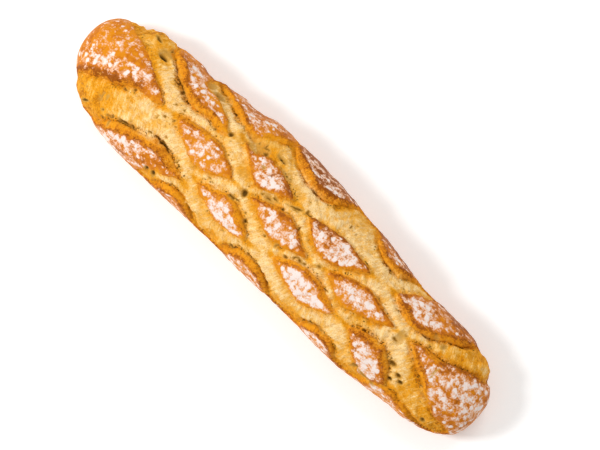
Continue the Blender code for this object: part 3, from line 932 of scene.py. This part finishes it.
# %% [markdown]
# ## A bench for mixing materials
#
# Shader nodes are easy to read on screen and long-winded in code. A small helper that adds a node, fills
# in its inputs and hands back its output keeps each layer of the crust to a line or two.

# %% Helper for shader nodes
SCREEN_GAMMA = 2.2


def colour(red, green, blue):
    """A screen colour, 0 to 255, as the linear values that a shader takes."""
    return tuple((c / 255.0) ** SCREEN_GAMMA for c in (red, green, blue)) + (1.0,)


class Bench:
    """Adds nodes to a material. A place, a size and a reach are in metres."""

    def __init__(self, material):
        material.use_nodes = True
        self.nodes = material.node_tree.nodes
        self.links = material.node_tree.links
        self.shader = self.nodes["Principled BSDF"]

    def put(self, socket, value):
        """Link another node's output to this socket, or set the socket to a value."""
        if isinstance(value, bpy.types.NodeSocket):
            self.links.new(value, socket)
        else:
            socket.default_value = value

    def coat(self, inputs):
        """Fill in the inputs of the surface itself."""
        for name, value in inputs.items():
            self.put(self.shader.inputs[name], value)

    def new(self, kind, inputs, **settings):
        """A node that is set up first and then filled in, each input by its name or its number."""
        node = self.nodes.new("ShaderNode" + kind)
        for name, value in settings.items():
            setattr(node, name, value)
        for name, value in inputs.items():
            self.put(node.inputs[name], value)
        return node

    def read(self, name):
        """A number that each point of the mesh carries."""
        return self.new("Attribute", {}, attribute_name=name).outputs["Fac"]

    def maths(self, operation, *values):
        """One Math node. The four helpers below name the sums that are used most."""
        return self.new("Math", dict(enumerate(values)), operation=operation).outputs[0]

    def plus(self, first, second):
        return self.maths("ADD", first, second)

    def less(self, first, second):
        return self.maths("SUBTRACT", first, second)

    def times(self, first, *others):
        for other in others:
            first = self.maths("MULTIPLY", first, other)
        return first

    def scale(self, value, factor, shift):
        return self.maths("MULTIPLY_ADD", value, factor, shift)

    def step(self, value, low, high, to_low=0.0, to_high=1.0):
        """A smooth step of value between low and high."""
        inputs = dict(enumerate((value, low, high, to_low, to_high)))
        return self.new("MapRange", inputs, interpolation_type="SMOOTHSTEP").outputs[0]

    def blend(self, share, first, second):
        """Two numbers, mixed."""
        return self.new("Mix", {0: share, 2: first, 3: second}).outputs[0]

    def mix(self, share, first, second):
        """Two colours, mixed."""
        return self.new("Mix", {0: share, 6: first, 7: second}, data_type="RGBA").outputs[2]

    def layers(self, value, base, *coats):
        """A base colour under coats: where each starts, where it is full, its strength and its colour."""
        for low, high, share, coat in coats:
            base = self.mix(self.step(value, low, high, 0.0, share), base, coat)
        return base

    def grain(self, place, size, detail=2.0, roughness=0.5):
        """Noise from 0 to 1 with grains about size across."""
        inputs = {"Vector": place, "Scale": 1.0 / size, "Detail": detail, "Roughness": roughness}
        return self.new("TexNoise", inputs).outputs["Fac"]

    def foam(self, place, size, feature="F1"):
        """Cells about size across."""
        return self.new("TexVoronoi", {"Vector": place, "Scale": 1.0 / size}, feature=feature).outputs

    def stir(self, value, *grains):
        """value with grains stirred in, so that it wanders by half of each one's amount either way."""
        for grain, amount in grains:
            value = self.plus(value, self.scale(grain, amount, -amount / 2.0))
        return value

    def wander(self, place, size, reach):
        """place, pushed about by reach in waves about size long, so that straight patterns bend."""
        push = self.new("TexNoise", {"Vector": place, "Scale": 1.0 / size}).outputs["Color"]
        inputs = {0: push, 1: (2.0 * reach,) * 3, 2: place}
        return self.new("VectorMath", inputs, operation="MULTIPLY_ADD").outputs[0]

    def spots(self, place, size, reach, core, share):
        """Scattered round dabs, in this share of the cells of a foam of this size."""
        cell = self.foam(place, size)
        chance = self.new("SeparateColor", {0: cell["Color"]}).outputs[0]
        round_dab = self.step(cell["Distance"], reach, core)
        return self.times(round_dab, self.step(self.plus(chance, share), 0.97, 1.03))


print("screen white is", colour(255, 255, 255))

# %% [markdown]
# ## Crust, crumb and flour
#
# One material covers the loaf, because on the real one skin and crumb are one piece of dough. Colours are
# layered as the baker would see them: golden to scorched skin, pale to toasted crumb with fibres across
# the slash, and flour on top of the skin, with painted shade in pores, crevices and holes. Two materials
# with a hard border would show a seam where none is.

# %% Colours
SKIN_GOLD = colour(222, 136, 22)
SKIN_BROWN = colour(200, 112, 18)
SKIN_DEEP = colour(152, 80, 14)
BAND_GOLD = colour(238, 152, 30)
BAND_BROWN = colour(208, 124, 28)
CRUMB_PALE = colour(254, 217, 154)
CRUMB_TAN = colour(243, 182, 86)
CRUMB_YELLOW = colour(244, 184, 72)
CRUMB_GOLD = colour(234, 154, 26)
# The next five colours also serve as painted shade in crevices, pores, cracks and holes.
CRUMB_DEEP_AND_SHADE = colour(186, 110, 12)
BURNT_AND_SHADE_BROWN = colour(126, 74, 10)
PAINTED_SHADE_DARK = colour(76, 54, 12)
PAINTED_SHADE_SOFT = colour(168, 116, 34)
TAN_HOLLOW_SHADE = colour(206, 156, 74)
FLOUR_WHITE = colour(246, 229, 221)
FLOUR_THIN = colour(236, 181, 143)
print("crumb is at its palest", [round(c, 2) for c in CRUMB_PALE[:3]])

# %% Noise that all layers share
crust = bpy.data.materials.new("crust_crumb_and_flour")
bench = Bench(crust)
place = bench.new("TexCoord", {}).outputs["Object"]
edge_mm = bench.read("edge_mm")
band_mm = bench.read("band_mm")
scorch_and_shade_read = bench.read("scorch")

fine = bench.grain(place, 0.9 * MM, 3.0, 0.6)
medium = bench.grain(place, 3.0 * MM, 3.0, 0.55)
broad = bench.grain(place, 9.0 * MM, 2.0, 0.5)
print("nodes for a start:", len(bench.nodes))

# %% [markdown]
# ### Fibres
#
# Torn crumb shows strands across the slash. A Wave texture makes strands too, but too even ones. The two
# families of slashes lean opposite ways, so noise is read in two turned and stretched sets of directions,
# and mixed by which family a place belongs to.

# %% Strands across the slashes
SLASH_TURN = 30.0  # degrees
STRAND_STRETCH = 0.2
STRAND_SIZE = 1.3 * MM

apart = bench.new("SeparateXYZ", {0: place}).outputs
skin_place = bench.new("CombineXYZ", {0: apart[0], 1: bench.read("spread")}).outputs[0]


def strands(turn_degrees, seed):
    """Noise drawn out into strands across slashes that run at this turn on the unrolled skin."""
    rotation = (0.0, 0.0, math.radians(turn_degrees))
    lined_up = bench.new("Mapping", {"Vector": skin_place, "Rotation": rotation}).outputs[0]
    stretch = {0: lined_up, 1: (1.0, STRAND_STRETCH, 1.0), 2: (0.0, 0.0, seed)}
    drawn_out = bench.new("VectorMath", stretch, operation="MULTIPLY_ADD").outputs[0]
    return bench.grain(drawn_out, STRAND_SIZE, 3.0, 0.55)


which_family = bench.step(bench.read("rising"), -0.5, 0.5)
strand = bench.blend(which_family, strands(SLASH_TURN, 1.0), strands(-SLASH_TURN, 2.0))
print("nodes with the strands:", len(bench.nodes))

# %% [markdown]
# ### Skin and torn bands
#
# Skin goes from gold to deep brown the more it is scorched, and the same number carries painted shade on
# the far side's waist. The torn band of an ear is rougher dough: golden at its foot, browner towards its
# rim, flecked with burnt and with pale spots. A colour ramp could hold each row of colours, but ramps
# blend all of them the same way, and here each coat has its own start and strength.

# %% The skin
scorch_and_shade_mottled = bench.stir(scorch_and_shade_read, (medium, 1.5), (fine, 1.0))
skin = bench.layers(scorch_and_shade_mottled, SKIN_GOLD, (0.05, 0.60, 1.0, SKIN_BROWN), (0.55, 1.10, 1.0, SKIN_DEEP))
print("nodes with the skin:", len(bench.nodes))

# %% The torn band of an ear
BAND_RIM_SHADE = 0.85

up_the_band = bench.maths("DIVIDE", edge_mm, band_mm)
band_shade = bench.times(bench.step(up_the_band, 0.15, 1.0), BAND_RIM_SHADE)
band_shade = bench.plus(band_shade, bench.scale(scorch_and_shade_read, 0.7, -0.42))
band_shade = bench.stir(band_shade, (broad, 1.2), (medium, 1.9), (fine, 2.4))
torn = bench.layers(
    band_shade,
    CRUMB_GOLD,
    (-0.15, 0.40, 1.0, BAND_GOLD),
    (0.20, 0.75, 1.0, BAND_BROWN),
    (0.75, 1.25, 1.0, SKIN_DEEP),
)
fleck = bench.grain(place, 1.5 * MM, 3.0, 0.65)
torn = bench.layers(fleck, torn, (0.55, 0.70, 0.55, BURNT_AND_SHADE_BROWN), (0.43, 0.28, 0.45, CRUMB_TAN))
print("nodes with the band:", len(bench.nodes))

# %% [markdown]
# ### Crumb
#
# Crumb is pale where it is thick and golden where the heat reached it, mottled by its strands, with small
# dark pores. It is darker still where painted shade lies in its hollows. The pores could be geometry, but
# most are finer than the mesh, so they are colour and bump, and their dark is painted shade.

# %% The crumb
mottle = bench.stir(bench.scale(strand, 1.1, -0.55), (fine, 1.0), (medium, 0.9), (broad, 0.9))
mottle = bench.times(mottle, bench.scale(bench.read("at_ends"), 0.6, 1.0))
crumb_shade = bench.plus(bench.read("toast"), mottle)
crumb = bench.layers(
    crumb_shade,
    CRUMB_PALE,
    (-0.15, 0.45, 1.0, CRUMB_TAN),
    (0.35, 0.90, 1.0, CRUMB_GOLD),
    (0.90, 1.50, 1.0, CRUMB_DEEP_AND_SHADE),
)
golden = bench.grain(place, 1.2 * MM, 2.0, 0.6)
crumb = bench.layers(golden, crumb, (0.50, 0.66, 0.45, CRUMB_YELLOW))
strand_line = bench.maths("ABSOLUTE", bench.plus(strand, -0.5))
crumb = bench.layers(strand_line, crumb, (0.035, 0.0, 0.45, CRUMB_DEEP_AND_SHADE))
print("nodes with the crumb:", len(bench.nodes))

# %% Pores in the crumb, darkened with painted shade
pore_noise = bench.scale(bench.read("pitted"), 0.19, bench.grain(place, 1.2 * MM, 1.5, 0.5))
pore_noise = bench.stir(pore_noise, (broad, 0.35))
pore = bench.step(pore_noise, 0.74, 0.82)
crumb = bench.layers(pore_noise, crumb, (0.74, 0.82, 0.80, PAINTED_SHADE_SOFT), (0.78, 0.88, 0.85, PAINTED_SHADE_DARK))
print("nodes with the pores:", len(bench.nodes))

# %% Skin over band over crumb
band_full_at = bench.scale(band_mm, 0.35, 0.4)
is_band = bench.step(bench.stir(edge_mm, (fine, 1.2), (medium, 2.4)), -0.7, band_full_at)
is_skin = bench.step(bench.stir(bench.less(edge_mm, band_mm), (medium, 3.4)), -0.8, 1.2)
surface = bench.mix(is_skin, bench.mix(is_band, crumb, torn), skin)
print("nodes with the three together:", len(bench.nodes))

# %% [markdown]
# ### Flour
#
# Flour lies in soft clumps, thick enough to be white in their middles and a pinkish haze at their edges.
# A hair system of grains would be too much for a powder this fine. A coverage that runs smoothly from
# none to full gives both. Round dabs are added, where drops of flour fell.

# %% Flour on the skin
flour_read = bench.read("flour")
clump = bench.grain(place, 3.6 * MM, 2.0, 0.58)
speckle = bench.grain(place, 1.0 * MM, 1.0, 0.5)
coverage = bench.stir(flour_read, (clump, 2.8), (speckle, 1.3))
dab = bench.spots(bench.wander(place, 3.0 * MM, 0.5 * MM), 4.4 * MM, reach=0.42, core=0.16, share=0.55)
coverage = bench.plus(coverage, bench.times(dab, bench.step(flour_read, 0.03, 0.15, 0.0, 0.8)))
coverage = bench.times(bench.step(coverage, 0.0, 1.15), is_skin)
thick = bench.step(coverage, 0.45, 1.0)
surface = bench.mix(bench.step(coverage, 0.0, 0.55), surface, FLOUR_THIN)
surface = bench.mix(thick, surface, FLOUR_WHITE)
print("nodes with the flour:", len(bench.nodes))

# %% [markdown]
# ### Cracks, crevices and holes
#
# Scorched skin has hairline cracks, and what lies deep between pad and crumb stays dark. Rays of light
# would darken the deep places alone if the relief were as fine as the real one. It isn't, so painted shade
# is added where the mesh says that there is a crevice or a hole.

# %% Hairline cracks in scorched skin
to_crack = bench.foam(bench.wander(place, 5.0 * MM, 1.5 * MM), 9.0 * MM, "DISTANCE_TO_EDGE")["Distance"]
crack = bench.times(bench.step(to_crack, 0.035, 0.010), bench.step(broad, 0.52, 0.60))
crack = bench.times(crack, is_skin, bench.step(scorch_and_shade_read, 0.45, 0.75))
surface = bench.mix(bench.times(crack, 0.75), surface, SKIN_DEEP)
print("nodes with the cracks:", len(bench.nodes))

# %% Dark in crevices and holes
# Painted shade: a brown shadow beside each crevice, a broken dark line in it, and darker colours in holes.
crevice_read = bench.read("crevice")
zigzag = bench.stir(bench.plus(edge_mm, 0.8), (medium, 3.4), (fine, 2.6))
off_line = bench.maths("ABSOLUTE", zigzag)
gap = bench.grain(place, 1.7 * MM, 2.0, 0.6)
opened = bench.step(bench.scale(crevice_read, 0.33, gap), 0.68, 0.90)
shadow = bench.times(bench.step(off_line, 2.8, 0.5), bench.step(crevice_read, 0.1, 0.9, 0.0, 0.42))
dark_line = bench.times(bench.step(off_line, 0.95, 0.15), opened)
surface = bench.mix(shadow, surface, CRUMB_DEEP_AND_SHADE)
surface = bench.layers(dark_line, surface, (0.0, 0.5, 0.80, BURNT_AND_SHADE_BROWN), (0.35, 0.95, 0.75, PAINTED_SHADE_DARK))
# Painted shade in holes, pits and cracks.
surface = bench.layers(
    bench.stir(bench.read("hole"), (fine, 0.4)),
    surface,
    (0.02, 0.25, 0.75, TAN_HOLLOW_SHADE),
    (0.25, 0.65, 0.80, PAINTED_SHADE_SOFT),
    (0.50, 0.95, 0.90, PAINTED_SHADE_DARK),
)
print("nodes with the dark places:", len(bench.nodes))

# %% [markdown]
# ### Gloss and fine relief
#
# Baked skin has a dull shine, crumb and flour have next to none. What is finer than the mesh, such as
# flour grains, pores and strands, could be displaced at render time, but that takes many more faces. Bump
# takes none: it is one height field, and its depth is given in metres.

# %% Gloss and bump
CRUMB_ROUGHNESS, SKIN_ROUGHNESS, FLOUR_ROUGHNESS = 0.8, 0.55, 0.92
SHINE = 0.12
BUMP_DEPTH = 0.9 * MM

skin_shine = bench.step(thick, 0.0, 0.6, SKIN_ROUGHNESS, FLOUR_ROUGHNESS)
skin_relief = bench.plus(bench.times(medium, 0.25), bench.times(fine, 0.16))
skin_relief = bench.plus(skin_relief, bench.times(thick, 0.12))
skin_relief = bench.less(skin_relief, bench.times(crack, 0.3))
crumb_relief = bench.plus(bench.times(strand, 0.28), bench.times(fine, 0.45))
crumb_relief = bench.less(crumb_relief, bench.times(bench.maths("MAXIMUM", pore, dark_line), 0.8))
relief = bench.blend(is_skin, crumb_relief, skin_relief)
bump = bench.new("Bump", {"Strength": 1.0, "Distance": BUMP_DEPTH, "Height": relief})
bench.coat({
    "Base Color": surface,
    "Roughness": bench.blend(is_skin, CRUMB_ROUGHNESS, skin_shine),
    "Specular IOR Level": SHINE,
    "Normal": bump.outputs["Normal"],
})
baguette.data.materials.append(crust)
print("nodes in the crust:", len(bench.nodes))

# %% [markdown]
# ## Tie the piece to the solid
#
# The fine loaf stands for the CAD node and rides on its body, so whatever moves the solid moves the
# bread. Parenting it by hand would move it too, but nothing would say which solid it stands for.

# %% Ride and replace
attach(baguette, "root")
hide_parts("loaf")

# %% [markdown]
# ## Floor
#
# A plain pale floor keeps the eye on the bread and throws light back up at its flanks. An empty white
# world would do that too, but then the loaf would seem to float. It glows a little, so it stays pale in
# the shadow.

# %% Floor
FLOOR_WIDTH = 8.0
FLOOR_GLOW = 0.22

floor_mesh = bpy.data.meshes.new("floor")
slab = bmesh.new()
bmesh.ops.create_grid(slab, x_segments=1, y_segments=1, size=FLOOR_WIDTH / 2.0)
slab.to_mesh(floor_mesh)
slab.free()
floor = bpy.data.objects.new("floor", floor_mesh)
bpy.context.scene.collection.objects.link(floor)
pale = bpy.data.materials.new("pale_floor")
Bench(pale).coat({
    "Base Color": (0.96, 0.96, 0.96, 1.0),
    "Roughness": 0.9,
    "Emission Color": (1.0, 1.0, 1.0, 1.0),
    "Emission Strength": FLOOR_GLOW,
    "Specular IOR Level": 0.1,
})
floor_mesh.materials.append(pale)
print("floor is", round(2 * max(corner.co.x for corner in floor_mesh.vertices), 1), "m wide")

# %% [markdown]
# ## Camera
#
# The loaf is seen from almost straight above, turned so that it runs from the upper left to the lower
# right. A camera could be flown to that view by hand. A direction, a distance and a long lens, which
# keeps both ends at nearly one scale, can be written down and come out the same each time.

# %% Camera
VIEW_AZIMUTH = math.radians(44)
VIEW_ELEVATION = math.radians(82)
LENS, SENSOR_WIDTH = 200.0, 36.0
CAMERA_DISTANCE = 1.944
NEAREST_SEEN = 0.01
LOAF_RIGHT_OF_CENTRE = -9.8 * MM
LOAF_ABOVE_CENTRE = -0.76 * MM
NEAR_END_LOOKS_LONGER = 1.3 * MM

right = Vector((math.cos(VIEW_AZIMUTH), math.sin(VIEW_AZIMUTH), 0.0))
ahead_way = Vector((-math.sin(VIEW_AZIMUTH), math.cos(VIEW_AZIMUTH), 0.0))
back = Vector((
    math.sin(VIEW_AZIMUTH) * math.cos(VIEW_ELEVATION),
    -math.cos(VIEW_AZIMUTH) * math.cos(VIEW_ELEVATION),
    math.sin(VIEW_ELEVATION),
))
aim = Vector((NEAR_END_LOOKS_LONGER, -middle_y, WAIST_HEIGHT))
aim = aim - right * LOAF_RIGHT_OF_CENTRE - ahead_way * LOAF_ABOVE_CENTRE
camera_data = bpy.data.cameras.new("camera")
camera_data.lens = LENS
camera_data.sensor_width = SENSOR_WIDTH
camera_data.clip_start = NEAREST_SEEN
camera = bpy.data.objects.new("camera", camera_data)
camera.location = aim + back * CAMERA_DISTANCE
camera.rotation_mode = "QUATERNION"
camera.rotation_quaternion = (-back).to_track_quat("-Z", "Y")
bpy.context.scene.collection.objects.link(camera)
bpy.context.scene.camera = camera
print("camera at", [round(c, 3) for c in camera.location])

# %% [markdown]
# ## Light
#
# The light is soft and comes mostly from the left of the view. One small lamp would cut hard shadows under
# the ears. Two large squares and a dim world model the loaf just as well, and its far side still shows.

# %% Lights
WORLD_COLOUR, WORLD_STRENGTH = (1.0, 0.99, 0.97, 1.0), 0.46

bpy.context.scene.view_settings.view_transform = "Standard"
world = bpy.data.worlds.new("studio")
world.use_nodes = True
background = world.node_tree.nodes["Background"]
background.inputs["Color"].default_value = WORLD_COLOUR
background.inputs["Strength"].default_value = WORLD_STRENGTH
bpy.context.scene.world = world


def soft_light(name, towards, distance, size, power):
    """A square light that shines on the loaf from this direction."""
    data = bpy.data.lights.new(name, "AREA")
    data.shape = "SQUARE"
    data.size = size
    data.energy = power
    light = bpy.data.objects.new(name, data)
    light.location = Vector(towards).normalized() * distance
    light.rotation_mode = "QUATERNION"
    light.rotation_quaternion = Vector(towards).to_track_quat("Z", "Y")
    bpy.context.scene.collection.objects.link(light)


soft_light("key", (-0.6, -0.55, 0.9), distance=1.6, size=0.4, power=15.0)
soft_light("fill", (-0.15, 0.75, 1.0), distance=1.8, size=0.9, power=8.6)
